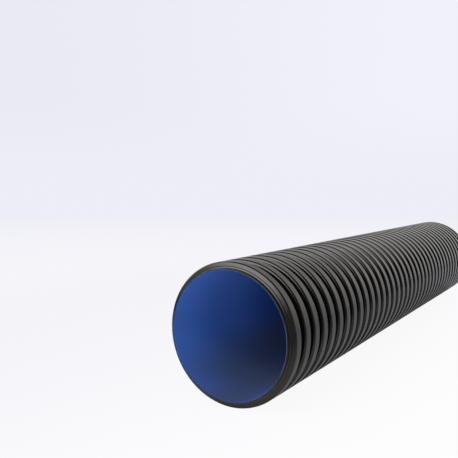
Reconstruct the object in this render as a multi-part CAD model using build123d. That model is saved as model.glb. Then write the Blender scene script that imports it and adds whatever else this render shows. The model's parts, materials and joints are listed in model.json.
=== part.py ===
from build123d import *
import os
from math import cos, floor, radians, tan

# A twin-wall drainage pipe: a smooth inner liner inside a corrugated outer skin.
# The pipe lies along Y with its cut ends facing -Y and +Y, and its ribs rest at Z = 0.

# The pipe, in millimetres
pipe_length = 3000.0
bore_diameter = 500.0

# The two walls
liner_wall = 3.4
skin_wall = 2.5

# One hollow rib of the skin: its height stands on the liner, its width is across the crest
rib_height = 26.6
crest_width = 37.0
rib_pitch = 78.8

# How far the flanks lean from square to the pipe, in degrees
flank_lean = 16.0

# Least stretch of valley that is left between a cut end and the nearest rib
least_end_land = 12.0

bore_radius = bore_diameter / 2
liner_radius = bore_radius + liner_wall
valley_radius = liner_radius + skin_wall
crest_radius = liner_radius + rib_height
chamber_radius = crest_radius - skin_wall
lean_slope = tan(radians(flank_lean))
flank_wall = skin_wall / cos(radians(flank_lean))


def rib_half_width(radius):
    """Half the rib's outside width at a radius: the leaning flanks widen it towards its foot."""
    return crest_width / 2 + (crest_radius - radius) * lean_slope


def chamber_half_width(radius):
    """Half the width of the hollow in the rib, which is one wall in from each flank."""
    return rib_half_width(radius) - flank_wall


def section_corners(centre, foot_radius, top_radius, half_width):
    """The corners from foot to foot of a rib, or of its hollow, as (radius, place along)."""
    foot = half_width(foot_radius)
    top = half_width(top_radius)
    return [
        (foot_radius, centre - foot),
        (top_radius, centre - top),
        (top_radius, centre + top),
        (foot_radius, centre + foot),
    ]


def rib_centres():
    """Places of the ribs along the pipe: as many as fit between the cut ends, about its middle."""
    end_margin = least_end_land + rib_half_width(valley_radius)
    gaps = floor((pipe_length - 2 * end_margin) / rib_pitch)
    return [(index - gaps / 2) * rib_pitch for index in range(gaps + 1)]


def turned(profile):
    """A section of (radius, place along) turned about the pipe's axis, with its ribs on Z = 0."""
    return Pos(0, 0, crest_radius) * revolve(profile, Axis.Y, 360)


def make_corrugated_skin():
    """The outer wall: one sheet that rises over each hollow rib and is welded to the liner between."""
    half = pipe_length / 2
    outside = []
    inside = []
    for centre in rib_centres():
        outside += section_corners(centre, valley_radius, crest_radius, rib_half_width)
        inside += section_corners(centre, liner_radius, chamber_radius, chamber_half_width)
    outline = [(valley_radius, -half), *outside, (valley_radius, half)]
    outline += [(liner_radius, half), *reversed(inside), (liner_radius, -half)]
    return turned(make_face(Polyline(*outline, close=True)))


def make_inner_liner():
    """The inner wall: a plain smooth tube from end to end."""
    wall = Rectangle(liner_wall, pipe_length)
    return turned(Pos(bore_radius + liner_wall / 2, 0) * wall)


os.makedirs("parts", exist_ok=True)
export_step(make_corrugated_skin(), "parts/corrugated_skin.step")
export_step(make_inner_liner(), "parts/inner_liner.step")
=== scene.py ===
"""A twin-wall drainage pipe: the finish of its ribbed skin and blue liner, and a pale studio."""

import json
import math
from types import SimpleNamespace

import bpy
import numpy as np
from bpy.props import FloatProperty, FloatVectorProperty, IntProperty, PointerProperty
from bpy.types import Operator, Panel, PropertyGroup
from mathutils import Matrix, Vector


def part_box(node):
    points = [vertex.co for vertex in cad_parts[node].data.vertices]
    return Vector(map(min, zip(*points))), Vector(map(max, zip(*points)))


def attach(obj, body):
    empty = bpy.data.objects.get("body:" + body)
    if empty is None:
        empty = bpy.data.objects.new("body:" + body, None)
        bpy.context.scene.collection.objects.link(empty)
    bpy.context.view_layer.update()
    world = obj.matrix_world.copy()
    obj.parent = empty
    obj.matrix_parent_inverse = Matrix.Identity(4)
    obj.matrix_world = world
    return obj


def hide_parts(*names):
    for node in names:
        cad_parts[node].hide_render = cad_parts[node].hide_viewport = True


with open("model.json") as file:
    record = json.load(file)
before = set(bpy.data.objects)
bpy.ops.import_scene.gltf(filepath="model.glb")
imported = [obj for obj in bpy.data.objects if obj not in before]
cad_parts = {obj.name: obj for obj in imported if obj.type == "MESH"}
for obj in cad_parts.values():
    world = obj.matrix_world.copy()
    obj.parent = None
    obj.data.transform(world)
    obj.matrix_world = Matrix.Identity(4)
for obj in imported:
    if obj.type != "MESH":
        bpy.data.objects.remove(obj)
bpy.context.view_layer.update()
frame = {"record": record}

bl_info = {
    "name": "Twin-wall drainage pipe",
    "version": (1, 0, 0),
    "blender": (4, 5, 0),
    "location": "View3D > Sidebar > Pipe",
    "description": "Builds the ribbed skin, the smooth liner and the studio of a drainage pipe",
    "category": "Add Mesh",
}

# The frame gives the pipe's length, its crests, its bore and the height of its axis.
MOUNTS = {mount["name"]: mount for mount in frame["record"]["mounts"]}
SKIN_LOW, SKIN_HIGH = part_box("corrugated_skin")
AXIS_HEIGHT = MOUNTS["crests"]["pos_m"][2]
HALF_LENGTH = SKIN_HIGH.y
CREST_RADIUS = min(SKIN_HIGH.x, -SKIN_LOW.x, AXIS_HEIGHT - SKIN_LOW.z)
BORE_RADIUS = MOUNTS["bore"]["dims"]["r_mm"] / 1000
BORE_BOTTOM = AXIS_HEIGHT - BORE_RADIUS


class SkinSettings(PropertyGroup):
    """The ribbed outer wall: its section and its black finish."""

    rib_pitch: FloatProperty(
        name="Rib pitch", description="From one rib to the next", default=0.0788, unit="LENGTH"
    )
    crest_width: FloatProperty(
        name="Crest width", description="Across a rib's top, before rounding",
        default=0.039, unit="LENGTH",
    )
    flank_lean: FloatProperty(
        name="Flank lean", description="From square to the pipe", default=math.radians(16), subtype="ANGLE"
    )
    wall: FloatProperty(name="Wall", description="Thickness of the skin", default=0.0025, unit="LENGTH")
    shoulder_radius: FloatProperty(
        name="Shoulder radius", description="Rounding of a rib's top edges", default=0.0062, unit="LENGTH"
    )
    flank_bulge: FloatProperty(
        name="Flank bulge", description="How much the flank's lean grows to the crest",
        default=math.radians(6), subtype="ANGLE",
    )
    band_height: FloatProperty(
        name="Band height", description="Welded band round a rib's foot", default=0.005, unit="LENGTH"
    )
    band_depth: FloatProperty(
        name="Band depth", description="How far the band stands out of the flank",
        default=0.0012, unit="LENGTH",
    )
    notch_height: FloatProperty(
        name="Notch height", description="Thin notch between the band and the flank",
        default=0.0022, unit="LENGTH",
    )
    cut_radius: FloatProperty(
        name="Cut radius", description="Rounding of the cut ends' outer edge", default=0.002, unit="LENGTH"
    )
    end_land: FloatProperty(
        name="End land", description="Least valley left at a cut end", default=0.012, unit="LENGTH"
    )
    turn_steps: IntProperty(name="Steps round", description="Faces round the pipe", default=106)
    black: FloatVectorProperty(
        name="Black", description="Carbon black polyethylene",
        default=(0.0022, 0.0021, 0.0019), subtype="COLOR",
    )
    # Real scuffs on the crests; on the valley at each end this colour is painted light, for the light that
    # open valley catches
    scuffs_and_land_light: FloatVectorProperty(
        name="Scuffed black", description="Scuffs on the crests, and the dusty valley at each end",
        default=(0.010, 0.010, 0.0095), subtype="COLOR",
    )
    roughness: FloatProperty(
        name="Roughness", description="Roughness of the satin skin",
        default=0.11, min=0, max=1, subtype="FACTOR",
    )
    mirror: FloatProperty(
        name="Mirror", description="How strongly the skin mirrors",
        default=0.36, min=0, max=1, subtype="FACTOR",
    )
    mirror_tint: FloatVectorProperty(
        name="Mirror tint", description="Warm tint of what the skin mirrors",
        default=(1.0, 0.97, 0.84), subtype="COLOR",
    )
    parting: FloatProperty(
        name="Parting line", description="Turn of the mould's parting line",
        default=math.radians(152), subtype="ANGLE",
    )


class LinerSettings(PropertyGroup):
    """The smooth inner wall and its blue finish."""

    wall: FloatProperty(name="Wall", description="Thickness of the liner", default=0.0034, unit="LENGTH")
    lip_radius: FloatProperty(
        name="Lip radius", description="Rounding of the lip's bore edge", default=0.0006, unit="LENGTH"
    )
    seam_radius: FloatProperty(
        name="Seam radius", description="Rounding of the lip beside the skin",
        default=0.0004, unit="LENGTH",
    )
    turn_steps: IntProperty(name="Steps round", description="Faces round the liner", default=192)
    length_steps: IntProperty(name="Steps along", description="Faces along the liner", default=152)
    # The blue near the ends and the deeper blue far from them differ by painted shade: the bore is painted
    # darker with depth
    blue: FloatVectorProperty(
        name="Blue", description="Blue faded by painted_light near the ends",
        default=(0.045, 0.119, 0.390), subtype="COLOR",
    )
    deep_shade_blue: FloatVectorProperty(
        name="Fresh blue", description="Deeper blue far from the ends",
        default=(0.016, 0.068, 0.27), subtype="COLOR",
    )
    sawn: FloatVectorProperty(
        name="Sawn blue", description="Blue dulled by the saw on the cut lips",
        default=(0.022, 0.052, 0.15), subtype="COLOR",
    )
    dust: FloatVectorProperty(
        name="Dust", description="Thin film along the bottom",
        default=(0.052, 0.064, 0.100), subtype="COLOR",
    )
    roughness: FloatProperty(
        name="Roughness", description="Roughness near the ends",
        default=0.34, min=0, max=1, subtype="FACTOR",
    )
    dulled: FloatProperty(
        name="Dulled roughness", description="Roughness far from the ends",
        default=0.75, min=0, max=1, subtype="FACTOR",
    )
    mirror: FloatProperty(
        name="Mirror", description="How strongly the liner mirrors",
        default=0.24, min=0, max=1, subtype="FACTOR",
    )


class StageSettings(PropertyGroup):
    """The floor, the backdrop, the lights and the camera."""

    backdrop: FloatVectorProperty(
        name="Backdrop", description="Pale sky round the floor", default=(0.85, 0.85, 0.92), subtype="COLOR"
    )
    floor_matt: FloatVectorProperty(
        name="Floor matt", description="Matt colour that takes the pipe's shadow",
        default=(0.64, 0.64, 0.66), subtype="COLOR",
    )
    floor_left: FloatVectorProperty(
        name="Floor left", description="Plain colour left of the pipe",
        default=(0.915, 0.915, 0.96), subtype="COLOR",
    )
    floor_right: FloatVectorProperty(
        name="Floor right", description="Plain colour right of the pipe",
        default=(1.0, 1.0, 1.0), subtype="COLOR",
    )
    floor_lift: FloatProperty(
        name="Floor lift", description="Share of the plain colour in the floor near the pipe",
        default=0.95, min=0, max=1, subtype="FACTOR",
    )
    mirrored_sky: FloatVectorProperty(
        name="Mirrored sky", description="Colour of the sky in reflections",
        default=(0.88, 0.87, 0.85), subtype="COLOR",
    )
    mirrored_window: FloatVectorProperty(
        name="Mirrored window", description="Cooler colour of the window in reflections",
        default=(0.90, 0.88, 1.02), subtype="COLOR",
    )
    ceiling: FloatProperty(name="Ceiling", description="Strength of the sky overhead", default=0.06)
    sky: FloatProperty(name="Sky", description="Strength of the sky as a light", default=0.88)
    window: FloatProperty(name="Window", description="Strength of the soft window in front", default=7.6)
    glow: FloatProperty(
        name="Glow", description="Strength of the left glow, and twice that of the right one", default=2.2
    )
    low_power: FloatProperty(
        name="Low fill", description="Power of the low light into the bore", default=20.0, unit="POWER"
    )
    high_power: FloatProperty(
        name="High fill", description="Power of the high light into the bore", default=5.2, unit="POWER"
    )
    lens: FloatProperty(name="Lens", description="The camera's focal length", default=46.91, unit="CAMERA")


# A rounding outside these limits is one face that shades as an arc; one inside them has ARC_STEPS.
SMALL_RADIUS = 0.0015
LARGE_RADIUS = 0.05
ARC_STEPS = 3


def rounded_outline(corners, radii):
    """A closed outline with its corners rounded, and the outward normals that meet at each point.

    corners are (along, radius) pairs, followed so that the material lies on the right hand.
    Each arc touches both edges of its corner: it starts the radius times the tangent of half the
    turn before the corner, and its centre is one radius square to the incoming edge. A small or
    very large arc keeps its two ends alone. A corner with no radius stays one point, where the
    normals of its two edges differ.
    """
    incoming = corners - np.roll(corners, 1, axis=0)
    outgoing = np.roll(corners, -1, axis=0) - corners
    heading = np.arctan2(incoming[:, 1], incoming[:, 0])
    leaving = np.arctan2(outgoing[:, 1], outgoing[:, 0])
    turn = (leaving - heading + np.pi) % (2 * np.pi) - np.pi
    share = np.linspace(0, 1, ARC_STEPS + 1)
    angle = heading[:, None] + turn[:, None] * share
    left = np.stack([-np.sin(angle), np.cos(angle)], axis=2)
    forward = np.stack([np.cos(heading), np.sin(heading)], axis=1)
    reach = radii * np.tan(np.abs(turn) / 2)
    bend = (np.sign(turn) * radii)[:, None]
    centre = corners - reach[:, None] * forward + bend * left[:, 0]
    points = centre[:, None] - bend[:, None] * left
    before, after = left.copy(), left.copy()
    sharp = radii == 0
    before[sharp, 0] = left[sharp, 0]
    after[sharp, 0] = left[sharp, -1]
    keep = np.ones(points.shape[:2], bool)
    keep[(radii < SMALL_RADIUS) | (radii > LARGE_RADIUS), 1:-1] = False
    keep[sharp, 1:] = False
    return points[keep], before[keep], after[keep]


def turned_piece(name, outline, before, after, steps):
    """A closed mesh: an outline turned about the pipe's axis.

    The outline's point (along, radius) at turn t lies at X = radius cos t, Y = along,
    Z = axis height + radius sin t. Faces run along the outline first and round the turn second,
    so they point outwards. Each face corner takes the outline's own normal on that face's side,
    and a UV of metres round the crests and metres along the outline.
    """
    count = len(outline)
    turn = np.arange(steps + 1) * (2 * np.pi / steps)
    wheel = np.stack([np.cos(turn), np.sin(turn)], axis=1)
    along, radius = outline[:, 0], outline[:, 1]
    place = np.empty((count, steps, 3))
    place[:, :, 0] = radius[:, None] * wheel[:-1, 0]
    place[:, :, 1] = along[:, None]
    place[:, :, 2] = AXIS_HEIGHT + radius[:, None] * wheel[:-1, 1]

    near, here = np.meshgrid(np.arange(count), np.arange(steps), indexing="ij")
    far, there = (near + 1) % count, (here + 1) % steps
    faces = np.stack(
        [near * steps + here, far * steps + here, far * steps + there, near * steps + there], axis=2
    )

    def spread(normal, column):
        """Outline normals turned to the face corners at one side of each face."""
        across = normal[:, 1][:, None] * wheel[column, 0]
        up = normal[:, 1][:, None] * wheel[column, 1]
        flat = np.broadcast_to(normal[:, 0][:, None], across.shape)
        return np.stack([across, flat, up], axis=2)

    first, second = np.arange(steps), np.arange(steps) + 1
    ahead = np.roll(before, -1, axis=0)
    normals = np.stack(
        [spread(after, first), spread(ahead, first), spread(ahead, second), spread(after, second)], axis=2
    )

    run = np.linalg.norm(np.roll(outline, -1, axis=0) - outline, axis=1)
    end = np.cumsum(run)
    start = end - run
    girth = turn * CREST_RADIUS
    low = np.broadcast_to(girth[:-1], (count, steps))
    high = np.broadcast_to(girth[1:], (count, steps))
    start = np.broadcast_to(start[:, None], (count, steps))
    end = np.broadcast_to(end[:, None], (count, steps))
    uv = np.stack(
        [np.stack(pair, axis=2) for pair in ((low, start), (low, end), (high, end), (high, start))], axis=2
    )

    mesh = bpy.data.meshes.new(name)
    mesh.from_pydata(place.reshape(-1, 3), [], faces.reshape(-1, 4))
    layer = mesh.uv_layers.new(name="turned")
    layer.data.foreach_set("uv", uv.astype(np.float32).ravel())
    mesh.polygons.foreach_set("use_smooth", np.ones(len(mesh.polygons), bool))
    mesh.normals_split_custom_set(normals.reshape(-1, 3))
    mesh.update()
    piece = bpy.data.objects.new(name, mesh)
    bpy.context.scene.collection.objects.link(piece)
    return piece


# Share of each of a bulging flank's two straights that the bend between them takes up.
BEND_SHARE = 0.5


def skin_corners(skin, liner_radius):
    """The skin's outline as corners and their radii.

    Along the outside each rib gives the welded band at its foot, the notch above the band, the
    bend of the flank and the shoulder, and the same again down its far side. Half the rib's
    width grows from the crest towards the foot by the depth times the lean's slope. At its bend
    the flank stands out by half its climb times the tangent of half the bulge. The inside goes
    back over the hollows, whose edges lie one wall in from the outside.
    """
    slope = math.tan(skin.flank_lean)
    valley_radius = liner_radius + skin.wall
    chamber_radius = CREST_RADIUS - skin.wall

    def half_width(radius):
        return skin.crest_width / 2 + (CREST_RADIUS - radius) * slope

    inset = skin.wall / math.cos(skin.flank_lean)
    margin = skin.end_land + half_width(valley_radius)
    gaps = math.floor((2 * HALF_LENGTH - 2 * margin) / skin.rib_pitch)
    centres = (np.arange(gaps + 1) - gaps / 2) * skin.rib_pitch

    def section(half):
        """Half a section, from the foot to the crest, mirrored and set on every rib's centre."""
        half = np.array(half)
        shape = np.concatenate([half * (-1, 1), half[::-1]])
        return (shape + np.stack([centres, 0 * centres], axis=1)[:, None]).reshape(-1, 2)

    band_top = valley_radius + skin.band_height
    notch_top = band_top + skin.notch_height
    middle = (notch_top + CREST_RADIUS) / 2
    half_climb = (CREST_RADIUS - notch_top) / 2
    bulge = half_climb * math.tan(skin.flank_bulge / 2)
    outside = section([
        (half_width(valley_radius) + skin.band_depth, valley_radius),
        (half_width(band_top) + skin.band_depth, band_top),
        (half_width(notch_top), band_top),
        (half_width(notch_top), notch_top),
        (half_width(middle) + bulge, middle),
        (skin.crest_width / 2, CREST_RADIUS),
    ])
    inside = section([
        (half_width(liner_radius) - inset, liner_radius),
        (half_width(chamber_radius) - inset, chamber_radius),
    ])[::-1]
    ends = [(-HALF_LENGTH, valley_radius), (HALF_LENGTH, valley_radius)]
    seats = [(HALF_LENGTH, liner_radius), (-HALF_LENGTH, liner_radius)]
    corners = np.concatenate([ends[:1], outside, ends[1:], seats[:1], inside, seats[1:]])
    bend_radius = BEND_SHARE * half_climb / math.tan(skin.flank_bulge / 2)
    flank = [0, 0, 0, 0, bend_radius, skin.shoulder_radius]
    rib = flank + flank[::-1]
    cut = [skin.cut_radius]
    radii = np.concatenate([cut, np.tile(rib, gaps + 1), cut, np.zeros(len(seats) + len(inside))])
    return corners, radii


def liner_corners(liner, liner_radius):
    """The liner's outline: a long thin box whose four corners, the cut lips, are rounded.

    The bore's side is cut into equal steps so that its faces aren't long slivers.
    """
    stations = np.linspace(HALF_LENGTH, -HALF_LENGTH, liner.length_steps + 1)
    bore = np.stack([stations, np.full(len(stations), BORE_RADIUS)], axis=1)
    outside = [(-HALF_LENGTH, liner_radius), (HALF_LENGTH, liner_radius)]
    corners = np.concatenate([outside, bore])
    radii = np.zeros(len(corners))
    radii[[0, 1]] = liner.seam_radius
    radii[[2, -1]] = liner.lip_radius
    return corners, radii


def new_material(name):
    """A material with its node tree and its shader, and nothing else."""
    material = bpy.data.materials.new(name)
    material.use_nodes = True
    tree = material.node_tree
    return material, tree, tree.nodes["Principled BSDF"]


def add_node(tree, kind, **values):
    """A node whose properties and input defaults are given by name; spaces are underscores."""
    node = tree.nodes.new(kind)
    for key, value in values.items():
        if hasattr(node, key):
            setattr(node, key, value)
        else:
            node.inputs[key.replace("_", " ")].default_value = value
    return node


def parts_of(tree, vector):
    """A vector's X, Y and Z."""
    node = add_node(tree, "ShaderNodeSeparateXYZ")
    tree.links.new(vector, node.inputs[0])
    return node.outputs


def length_of(tree, vector):
    """A vector's length."""
    node = add_node(tree, "ShaderNodeVectorMath", operation="LENGTH")
    tree.links.new(vector, node.inputs[0])
    return node.outputs["Value"]


def squeezed(tree, place, scale, shift=(0, 0, 0)):
    """A place scaled and shifted on each axis; a small scale draws a pattern out."""
    node = add_node(tree, "ShaderNodeMapping", Scale=scale, Location=shift)
    tree.links.new(place, node.inputs["Vector"])
    return node.outputs["Vector"]


def noise(tree, place, scale, detail=2.0):
    """Noise over a place, from 0 to 1; the scale is about how many features lie in a metre."""
    node = add_node(tree, "ShaderNodeTexNoise", Scale=scale, Detail=detail)
    tree.links.new(place, node.inputs["Vector"])
    return node.outputs["Fac"]


def spread_over(tree, value, start, stop, low=0.0, high=1.0):
    """A value from start to stop, eased onto low to high and held there beyond."""
    node = add_node(
        tree, "ShaderNodeMapRange", interpolation_type="SMOOTHSTEP",
        From_Min=start, From_Max=stop, To_Min=low, To_Max=high,
    )
    tree.links.new(value, node.inputs["Value"])
    return node.outputs["Result"]


def combined(tree, operation, first, *others):
    """Values joined by arithmetic, one after another; each is a socket or a number."""
    for other in others:
        node = add_node(tree, "ShaderNodeMath", operation=operation)
        for slot, value in enumerate((first, other)):
            if isinstance(value, (int, float)):
                node.inputs[slot].default_value = value
            else:
                tree.links.new(value, node.inputs[slot])
        first = node.outputs[0]
    return first


def total(tree, *values):
    """The sum of the values."""
    return combined(tree, "ADD", *values)


def product(tree, *values):
    """The product of the values."""
    return combined(tree, "MULTIPLY", *values)


def greatest(tree, *values):
    """The greatest of the values."""
    return combined(tree, "MAXIMUM", *values)


def unsigned(tree, value):
    """A value without its sign."""
    return combined(tree, "ABSOLUTE", value, 0.0)


def rest_of(tree, share):
    """What a share leaves of 1."""
    return combined(tree, "SUBTRACT", 1.0, share)


# The Mix node's sockets, for values and for colours: the share, the first, the second, the result
VALUE_SOCKETS = (0, 2, 3, 0)
COLOUR_SOCKETS = (0, 6, 7, 2)


def blended(tree, share, first, second):
    """A value that goes from the first to the second as the share goes from 0 to 1; all sockets."""
    node = add_node(tree, "ShaderNodeMix", data_type="FLOAT")
    *slots, result = VALUE_SOCKETS
    for slot, socket in zip(slots, (share, first, second)):
        tree.links.new(socket, node.inputs[slot])
    return node.outputs[result]


def laid_over(tree, share, under, over, blend="MIX"):
    """One colour laid over another; each is a socket or three numbers, the share a socket or a float."""
    node = add_node(tree, "ShaderNodeMix", data_type="RGBA", blend_type=blend)
    *slots, result = COLOUR_SOCKETS
    for slot, value in zip(slots, (share, under, over)):
        if isinstance(value, bpy.types.NodeSocket):
            tree.links.new(value, node.inputs[slot])
        elif isinstance(value, float):
            node.inputs[slot].default_value = value
        else:
            node.inputs[slot].default_value = (*value, 1)
    return node.outputs[result]


def shaded(tree, colour, factor):
    """A colour multiplied by a factor."""
    return laid_over(tree, 1.0, colour, factor, "MULTIPLY")


def add_bump(tree, height, depth, under=None):
    """A bump whose height of 0 to 1 stands for a depth in metres, laid on another bump."""
    node = add_node(tree, "ShaderNodeBump", Strength=1.0, Distance=depth)
    tree.links.new(height, node.inputs["Height"])
    if under:
        tree.links.new(under, node.inputs["Normal"])
    return node.outputs["Normal"]


# Depths of the fine relief in the finish, in metres
GRAIN_DEPTH = 0.00004
FLOW_DEPTH = 0.00005
PARTING_DEPTH = 0.00025
PARTING_WIDTH = 0.0014
SAW_DEPTH = 0.00005
DIE_LINE_DEPTH = 0.00002
WELD_DEPTH = 0.00008

# The cut ends' finish fades out this far from their planes, and is this rough.
CUT_FADE = 0.0012
CUT_ROUGHNESS = 0.22

# Scuffs start at the first of these depths under the crests, and are full at the second. They
# cover the black by a share, and add to its roughness.
SCUFF_START, SCUFF_FULL = 0.0015, 0.0004
SCUFF_COVER = 0.5
SCUFF_ROUGHNESS = 0.12

# The painted light on the valley at each end fades out over this length.
LAND_FADE = 0.006

# How far in from each end the liner keeps its lighter blue and its gloss, and how far in they are gone; the
# darker blue inside is painted shade
LIGHTER_TO, DEEP_SHADE_FROM = 0.4, 0.85
GLOSSY_TO, DULL_FROM = 0.25, 0.9

# The film of dust thickens over this depth from each end.
FILM_REACH = 0.3

# How far out from the bore the painted shade at the joint beside the skin starts on a cut lip, and where it
# is full
SEAM_START, SEAM_FULL = 0.0008, 0.0016

POLYETHYLENE_IOR = 1.5


def pipe_places(tree):
    """Where a point of the pipe lies, as sockets that hold metres.

    place is its Object place, and across that place square to the pipe, from the axis. radius
    is the length of across, along and height are the place's Y and Z, and reach is the distance
    from mid-length. cut is a mask that is 1 on the cut ends.
    """
    place = add_node(tree, "ShaderNodeTexCoord").outputs["Object"]
    across = squeezed(tree, place, scale=(1, 0, 1), shift=(0, 0, -AXIS_HEIGHT))
    parts = parts_of(tree, place)
    reach = unsigned(tree, parts["Y"])
    return SimpleNamespace(
        place=place,
        across=across,
        radius=length_of(tree, across),
        along=parts["Y"],
        height=parts["Z"],
        reach=reach,
        cut=spread_over(tree, reach, HALF_LENGTH - CUT_FADE, HALF_LENGTH - CUT_FADE / 3),
    )


def saw_marks(tree, pipe):
    """Upright strokes of the saw, from 0 to 1, on the cut ends only."""
    stroke = noise(tree, squeezed(tree, pipe.place, scale=(1, 1, 0.04)), scale=900.0, detail=3.0)
    return product(tree, stroke, pipe.cut)


def ridge_along(tree, across, turn, width):
    """1 on a line along the pipe at a turn and at the turn opposite, fading to 0 over a width.

    The distance from the plane through the axis is the place across the pipe times the normal.
    """
    node = add_node(tree, "ShaderNodeVectorMath", operation="DOT_PRODUCT")
    node.inputs[1].default_value = (-math.sin(turn), 0, math.cos(turn))
    tree.links.new(across, node.inputs[0])
    return spread_over(tree, unsigned(tree, node.outputs["Value"]), width / 3, width, low=1.0, high=0.0)


def black_polyethylene(skin):
    """Satin black: fine grain, faint flow marks, scuffs on the crests and saw marks on the cut ends.

    The scuffs are streaks drawn out along the pipe, in patches, on the crests alone. The last
    valley at each end is lightened with painted light, and the cut ends are clean.
    """
    material, tree, shader = new_material("black_polyethylene")
    link = tree.links.new
    shader.inputs["IOR"].default_value = POLYETHYLENE_IOR
    shader.inputs["Specular IOR Level"].default_value = skin.mirror
    shader.inputs["Specular Tint"].default_value = (*skin.mirror_tint, 1)
    pipe = pipe_places(tree)

    crest = spread_over(tree, pipe.radius, CREST_RADIUS - SCUFF_START, CREST_RADIUS - SCUFF_FULL)
    streak = noise(tree, squeezed(tree, pipe.place, scale=(1, 0.22, 1)), scale=70.0, detail=5.0)
    streak = spread_over(tree, streak, start=0.52, stop=0.72)
    patch = spread_over(tree, noise(tree, pipe.place, scale=7.0), start=0.45, stop=0.7)
    scuff = product(tree, streak, patch, crest)

    uneven = noise(tree, pipe.place, scale=5.0, detail=4.0)
    black = shaded(tree, skin.black, spread_over(tree, uneven, start=0.25, stop=0.75, low=0.75, high=1.3))
    black = laid_over(tree, product(tree, scuff, SCUFF_COVER), black, skin.scuffs_and_land_light)
    # Painted light: the valley at each end takes the lighter colour, as it lies open to light that the
    # deeper valleys lose to shade
    land_start = HALF_LENGTH - skin.end_land
    painted_land_light = spread_over(tree, pipe.reach, start=land_start - LAND_FADE, stop=land_start)
    black = laid_over(tree, painted_land_light, black, skin.scuffs_and_land_light)
    link(laid_over(tree, pipe.cut, black, skin.black), shader.inputs["Base Color"])

    smear = noise(tree, pipe.place, scale=22.0, detail=3.0)
    smear = spread_over(tree, smear, start=0.25, stop=0.75, low=-0.02, high=0.03)
    satin = total(tree, smear, skin.roughness, product(tree, scuff, SCUFF_ROUGHNESS))
    satin = greatest(tree, satin, product(tree, pipe.cut, CUT_ROUGHNESS))
    link(satin, shader.inputs["Roughness"])

    flow = noise(tree, squeezed(tree, pipe.place, scale=(1, 0.06, 1)), scale=240.0)
    bump = add_bump(tree, noise(tree, pipe.place, scale=900.0), GRAIN_DEPTH)
    bump = add_bump(tree, flow, FLOW_DEPTH, bump)
    bump = add_bump(tree, ridge_along(tree, pipe.across, skin.parting, PARTING_WIDTH), PARTING_DEPTH, bump)
    link(add_bump(tree, saw_marks(tree, pipe), SAW_DEPTH, bump), shader.inputs["Normal"])
    return material


def blue_polyethylene(liner, rib_pitch):
    """Smooth extruded blue: fine die lines, faint weld rings, a film of dust along the bottom.

    The blue is painted darker with depth from each end, as painted shade inside the bore. The film
    thickens with depth and towards the bottom, and the liner dulls with depth. The liner rises a
    little where the skin's valleys are welded to it, once in each rib pitch. The cut lips are duller
    blue, with painted shade at the joint beside the skin and painted shade towards the bottom.
    """
    material, tree, shader = new_material("blue_polyethylene")
    link = tree.links.new
    shader.inputs["IOR"].default_value = POLYETHYLENE_IOR
    shader.inputs["Specular IOR Level"].default_value = liner.mirror
    pipe = pipe_places(tree)

    uneven = noise(tree, pipe.place, scale=3.0, detail=3.0)
    # Painted shade: the blue darkens with depth from each end, where less light reaches into the bore
    lightened = spread_over(tree, pipe.reach, HALF_LENGTH - DEEP_SHADE_FROM, HALF_LENGTH - LIGHTER_TO)
    blue = laid_over(tree, lightened, liner.deep_shade_blue, liner.blue)
    blue = shaded(tree, blue, spread_over(tree, uneven, start=0.25, stop=0.75, low=0.92, high=1.08))

    low = spread_over(tree, pipe.height, start=AXIS_HEIGHT - 0.04, stop=BORE_BOTTOM + 0.015)
    bed = spread_over(tree, pipe.height, start=AXIS_HEIGHT - 0.2, stop=BORE_BOTTOM, high=0.85)
    deep = spread_over(tree, pipe.reach, start=HALF_LENGTH, stop=HALF_LENGTH - FILM_REACH, low=0.5)
    drift = noise(tree, squeezed(tree, pipe.place, scale=(1, 0.3, 1)), scale=9.0, detail=4.0)
    drift = spread_over(tree, drift, start=0.2, stop=0.8, low=0.85)
    film = product(tree, greatest(tree, deep, bed), drift, low)
    dusty = laid_over(tree, film, blue, liner.dust)

    # Painted shade: the outer part of the cut lip is painted nearly black beside the skin, where the joint
    # lies in shade
    seam_shade = spread_over(
        tree, pipe.radius, BORE_RADIUS + SEAM_START, BORE_RADIUS + SEAM_FULL, low=1.0, high=0.06
    )
    # Painted shade: the cut lip is painted darker towards the bottom
    low_lip_shade = spread_over(tree, pipe.height, start=BORE_BOTTOM, stop=AXIS_HEIGHT - 0.05, low=0.4)
    sawn = shaded(tree, liner.sawn, product(tree, seam_shade, low_lip_shade))
    link(laid_over(tree, pipe.cut, dusty, sawn), shader.inputs["Base Color"])

    dull = spread_over(
        tree, pipe.reach, HALF_LENGTH - DULL_FROM, HALF_LENGTH - GLOSSY_TO,
        low=liner.dulled, high=liner.roughness,
    )
    dull = greatest(tree, dull, product(tree, pipe.cut, CUT_ROUGHNESS))
    link(dull, shader.inputs["Roughness"])

    die_lines = noise(tree, squeezed(tree, pipe.place, scale=(1, 0.02, 1)), scale=260.0)
    weld = combined(tree, "COSINE", product(tree, pipe.along, 2 * math.pi / rib_pitch), 0.0)
    bump = add_bump(tree, die_lines, DIE_LINE_DEPTH)
    bump = add_bump(tree, spread_over(tree, weld, start=0.6, stop=1.0), WELD_DEPTH, bump)
    link(add_bump(tree, saw_marks(tree, pipe), SAW_DEPTH, bump), shader.inputs["Normal"])
    return material


class PIPE_OT_skin(Operator):
    """Build the ribbed black outer wall"""

    bl_idname = "pipe.skin"
    bl_label = "Corrugated skin"

    def execute(self, context):
        skin = context.scene.pipe_skin
        liner_radius = BORE_RADIUS + context.scene.pipe_liner.wall
        corners, radii = skin_corners(skin, liner_radius)
        piece = turned_piece("ribbed_skin", *rounded_outline(corners, radii), skin.turn_steps)
        piece.data.materials.append(black_polyethylene(skin))
        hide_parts("corrugated_skin")
        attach(piece, "root")
        return {"FINISHED"}


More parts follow.
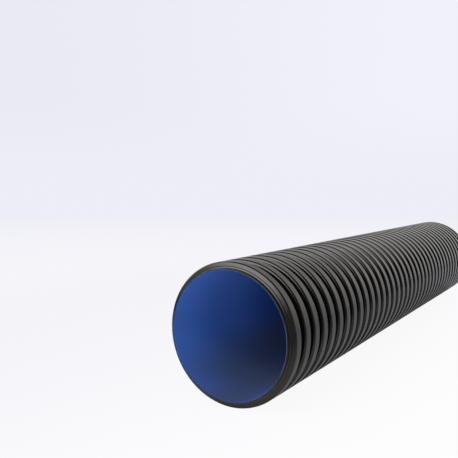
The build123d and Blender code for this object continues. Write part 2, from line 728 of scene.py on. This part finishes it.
class PIPE_OT_liner(Operator):
    """Build the smooth blue inner wall"""

    bl_idname = "pipe.liner"
    bl_label = "Inner liner"

    def execute(self, context):
        liner = context.scene.pipe_liner
        corners, radii = liner_corners(liner, BORE_RADIUS + liner.wall)
        piece = turned_piece("smooth_liner", *rounded_outline(corners, radii), liner.turn_steps)
        piece.data.materials.append(blue_polyethylene(liner, context.scene.pipe_skin.rib_pitch))
        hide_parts("inner_liner")
        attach(piece, "root")
        return {"FINISHED"}


# The middle of the pipe's front end, which the camera and the fills are placed from
MOUTH = Vector((0, -HALF_LENGTH, AXIS_HEIGHT))

# The camera stands to the right of the pipe's mouth and a little above it.
CAMERA_FROM_MOUTH = Vector((1.19459, -1.84570, 0.56028))
CAMERA_YAW = 0.5708
CAMERA_PITCH = 0.0716

# The camera's sensor is in millimetres, how far it sees and the floor's side in metres.
SENSOR_WIDTH = 36
CLIP_END = 200
FLOOR_SIZE = 120

# Two fills reach into the bore: a low one for its roof and depth, a high one for its bed.
LOW_FROM_MOUTH = Vector((0.2, -2.5, -0.22))
LOW_SIZE = (1.0, 0.2)
HIGH_FROM_MOUTH = Vector((0.3, -2.5, 3.0))
HIGH_SIZE = (1.0, 1.0)
FILL_SPREAD = math.radians(60)


def fill_light(name, from_mouth, size, power):
    """A rectangular light that faces the pipe's mouth and that neither camera nor mirrored rays see."""
    data = bpy.data.lights.new(name, "AREA")
    data.shape = "RECTANGLE"
    data.size, data.size_y = size
    data.energy = power
    data.spread = FILL_SPREAD
    light = bpy.data.objects.new(name, data)
    aim = (-from_mouth).to_track_quat("-Z", "Y")
    light.matrix_world = Matrix.LocRotScale(MOUTH + from_mouth, aim, None)
    light.visible_camera = False
    light.visible_glossy = False
    bpy.context.scene.collection.objects.link(light)


def background_rays(tree):
    """Masks of the rays that see the pale background: camera rays, then glossy and transmission rays."""
    path = add_node(tree, "ShaderNodeLightPath")
    mirrored = greatest(tree, path.outputs["Is Glossy Ray"], path.outputs["Is Transmission Ray"])
    return path.outputs["Is Camera Ray"], mirrored


# How much of its strength the floor loses for mirrored rays, far out in front of the mouth
FRONT_DIMMING = 0.75


def pale_floor(stage):
    """Matt white that keeps the pipe's shadow, with a share of its plain colour for background rays.

    Camera rays see nearly all of the plain colour near the pipe and all of it further away, and
    the colour fades into the backdrop, so that there is no horizon. Mirrored rays see mostly the
    shaded matt floor beside the pipe and mostly the plain colour in front of its mouth. Further
    out in front, and on behind the camera, the floor is dim for them.
    """
    material, tree, shader = new_material("pale_floor")
    link = tree.links.new
    shader.inputs["Base Color"].default_value = (*stage.floor_matt, 1)
    shader.inputs["Roughness"].default_value = 0.9
    shader.inputs["Specular IOR Level"].default_value = 0.1
    seen, mirrored = background_rays(tree)

    place = add_node(tree, "ShaderNodeTexCoord").outputs["Object"]
    across, along, _ = parts_of(tree, place)
    distance = length_of(tree, place)
    front = spread_over(tree, along, start=-HALF_LENGTH - 0.15, stop=-HALF_LENGTH - 1.2)
    beside = spread_over(
        tree, along, start=-HALF_LENGTH + 0.04, stop=-HALF_LENGTH - 0.06, low=0.1, high=0.85
    )

    plain = add_node(tree, "ShaderNodeEmission")
    right = spread_over(tree, across, start=-1.6, stop=1.0)
    near = laid_over(tree, right, stage.floor_left, stage.floor_right)
    away = spread_over(tree, distance, start=1.0, stop=16.0)
    link(laid_over(tree, away, near, stage.backdrop), plain.inputs["Color"])
    link(rest_of(tree, product(tree, front, mirrored, FRONT_DIMMING)), plain.inputs["Strength"])

    lift = spread_over(tree, distance, start=2.2, stop=3.6, low=stage.floor_lift)
    veil = spread_over(tree, distance, start=2.5, stop=16.0, low=0.1)
    veil = greatest(tree, veil, front, beside)
    share = total(tree, product(tree, lift, seen), product(tree, veil, mirrored))
    mixed = add_node(tree, "ShaderNodeMixShader")
    for slot, socket in enumerate((share, shader.outputs[0], plain.outputs[0])):
        link(socket, mixed.inputs[slot])
    link(mixed.outputs[0], tree.nodes["Material Output"].inputs["Surface"])
    return material


# The window's middle in a direction's X and Z, and how many of its half widths fit in 1
WINDOW_MIDDLE = (-0.3, 0.35)
WINDOW_SCALE = (2.6, 3.6)

# How far the dark ceiling's edge rises towards the back, and falls towards the right, over 1
CEILING_RISE, CEILING_FALL = 0.28, 0.5


def window_light(tree, direction, along, strength):
    """A soft window in front of the pipe and to its left: an ellipse in X and Z, on -Y's side.

    It fades out with the distance from its middle, counted in its half widths.
    """
    (middle_x, middle_z), (scale_x, scale_z) = WINDOW_MIDDLE, WINDOW_SCALE
    shift = (-middle_x * scale_x, 0, -middle_z * scale_z)
    around = length_of(tree, squeezed(tree, direction, (scale_x, 0, scale_z), shift))
    front = spread_over(tree, along, start=-0.45, stop=-0.7, high=strength)
    return product(tree, front, spread_over(tree, around, start=0.3, stop=1.6, low=1.0, high=0.0))


def mirrored_studio(tree, stage, across, along, up):
    """The strength of the sky that mirrored rays see, from a direction's X, Y and Z.

    The ceiling is dark above a plane that rises to the back and falls to the right. The wall
    behind the camera is dim, the right half is a little brighter above the floor, and the far
    left a little dimmer. Two glows stand at the pipe's sides, the left one tall and the right
    one low, and a small patch of light hangs straight overhead.
    """
    tilted = combined(tree, "SUBTRACT", up, product(tree, along, CEILING_RISE))
    tilted = total(tree, tilted, product(tree, across, CEILING_FALL))
    ceiling = spread_over(tree, tilted, start=0.33, stop=0.5, low=1.0, high=stage.ceiling)
    wall = spread_over(tree, along, start=-0.5, stop=-0.95, low=1.0, high=0.4)
    lifted = product(
        tree,
        spread_over(tree, up, start=0.02, stop=0.3, high=0.45),
        spread_over(tree, across, start=-0.1, stop=0.3),
    )
    lowered = product(
        tree,
        spread_over(tree, along, start=0.5, stop=0.75, high=0.4),
        spread_over(tree, across, start=-0.1, stop=-0.45),
    )
    sides = combined(tree, "SUBTRACT", total(tree, 1.0, lifted), lowered)

    left_glow = product(
        tree,
        spread_over(tree, across, start=-0.3, stop=-0.85, high=stage.glow),
        spread_over(tree, up, start=0.02, stop=0.25),
        spread_over(tree, up, start=0.6, stop=0.85, low=1.0, high=0.0),
    )
    right_glow = product(
        tree,
        spread_over(tree, across, start=0.35, stop=0.8, high=stage.glow / 2),
        spread_over(tree, up, start=-0.05, stop=0.1),
        spread_over(tree, up, start=0.25, stop=0.6, low=1.0, high=0.0),
    )
    beside = spread_over(tree, unsigned(tree, along), start=0.35, stop=0.62, low=1.0, high=0.0)
    glows = product(tree, beside, total(tree, left_glow, right_glow))
    overhead = spread_over(tree, up, start=0.88, stop=0.99, high=0.35)
    return total(tree, product(tree, ceiling, wall, sides), glows, overhead)


def studio_sky(stage):
    """A pale sky with a soft window, which looks different to each kind of ray.

    Camera rays see the plain backdrop, a little darker on the left and lighter on the right
    above the horizon, and no window. Diffuse rays see it at the sky's strength, dimmer towards
    the front right, with the window. Mirrored rays see the studio and the window, in their own
    colours.
    """
    world = bpy.data.worlds.new("studio_sky")
    world.use_nodes = True
    tree = world.node_tree
    direction = add_node(tree, "ShaderNodeTexCoord").outputs["Generated"]
    across, along, up = parts_of(tree, direction)
    window = window_light(tree, direction, along, stage.window)
    seen, mirrored = background_rays(tree)
    unseen = rest_of(tree, seen)

    slope = spread_over(tree, across, start=-0.85, stop=-0.15, low=-0.035, high=0.04)
    above = spread_over(tree, up, start=0.0, stop=0.15)
    backdrop = product(tree, seen, total(tree, 1.0, product(tree, slope, above)))
    front_right = product(
        tree,
        spread_over(tree, across, start=-0.1, stop=0.6, high=0.6),
        spread_over(tree, along, start=0.0, stop=-0.5),
    )
    light = product(tree, unseen, stage.sky, rest_of(tree, front_right))

    studio = mirrored_studio(tree, stage, across, along, up)
    strength = blended(tree, mirrored, total(tree, backdrop, light), studio)
    strength = total(tree, strength, product(tree, window, unseen))

    sky = tree.nodes["Background"]
    cool = product(tree, mirrored, spread_over(tree, window, start=0.0, stop=stage.window / 2))
    colour = laid_over(tree, mirrored, stage.backdrop, stage.mirrored_sky)
    tree.links.new(laid_over(tree, cool, colour, stage.mirrored_window), sky.inputs["Color"])
    tree.links.new(strength, sky.inputs["Strength"])
    return world


def photo_camera(lens):
    """The camera at the photograph's viewing angle."""
    data = bpy.data.cameras.new("photo_camera")
    data.sensor_width = SENSOR_WIDTH
    data.lens = lens
    data.clip_end = CLIP_END
    camera = bpy.data.objects.new("photo_camera", data)
    turn = Matrix.Rotation(CAMERA_YAW, 4, "Z") @ Matrix.Rotation(math.pi / 2 - CAMERA_PITCH, 4, "X")
    camera.matrix_world = Matrix.Translation(MOUTH + CAMERA_FROM_MOUTH) @ turn
    bpy.context.scene.collection.objects.link(camera)
    return camera


class PIPE_OT_stage(Operator):
    """Set the floor, the lights and the camera"""

    bl_idname = "pipe.stage"
    bl_label = "Studio"

    def execute(self, context):
        stage = context.scene.pipe_stage

        bpy.ops.mesh.primitive_plane_add(size=FLOOR_SIZE, location=(0, 0, 0))
        floor = context.active_object
        floor.name = "studio_floor"
        floor.data.materials.append(pale_floor(stage))

        fill_light("low_fill", LOW_FROM_MOUTH, LOW_SIZE, stage.low_power)
        fill_light("high_fill", HIGH_FROM_MOUTH, HIGH_SIZE, stage.high_power)
        context.scene.world = studio_sky(stage)
        context.scene.camera = photo_camera(stage.lens)
        context.scene.view_settings.view_transform = "Standard"
        return {"FINISHED"}


class PIPE_PT_panel(Panel):
    """The pipe's steps and settings in the sidebar"""

    bl_idname = "PIPE_PT_panel"
    bl_label = "Drainage pipe"
    bl_space_type = "VIEW_3D"
    bl_region_type = "UI"
    bl_category = "Pipe"

    def draw(self, context):
        for operator, settings in STEPS:
            self.layout.operator(operator.bl_idname)
            group = getattr(context.scene, settings)
            for name in group.bl_rna.properties.keys():
                if name not in {"rna_type", "name"}:
                    self.layout.prop(group, name)


STEPS = (
    (PIPE_OT_skin, "pipe_skin"),
    (PIPE_OT_liner, "pipe_liner"),
    (PIPE_OT_stage, "pipe_stage"),
)
GROUPS = {"pipe_skin": SkinSettings, "pipe_liner": LinerSettings, "pipe_stage": StageSettings}
CLASSES = (*GROUPS.values(), PIPE_OT_skin, PIPE_OT_liner, PIPE_OT_stage, PIPE_PT_panel)


def register():
    for item in CLASSES:
        bpy.utils.register_class(item)
    for name, group in GROUPS.items():
        setattr(bpy.types.Scene, name, PointerProperty(type=group))


def unregister():
    for name in GROUPS:
        delattr(bpy.types.Scene, name)
    for item in reversed(CLASSES):
        bpy.utils.unregister_class(item)


def main():
    """Builds the pipe and its studio."""
    register()
    bpy.ops.pipe.skin()
    bpy.ops.pipe.liner()
    bpy.ops.pipe.stage()


if __name__ == "__main__":
    main()
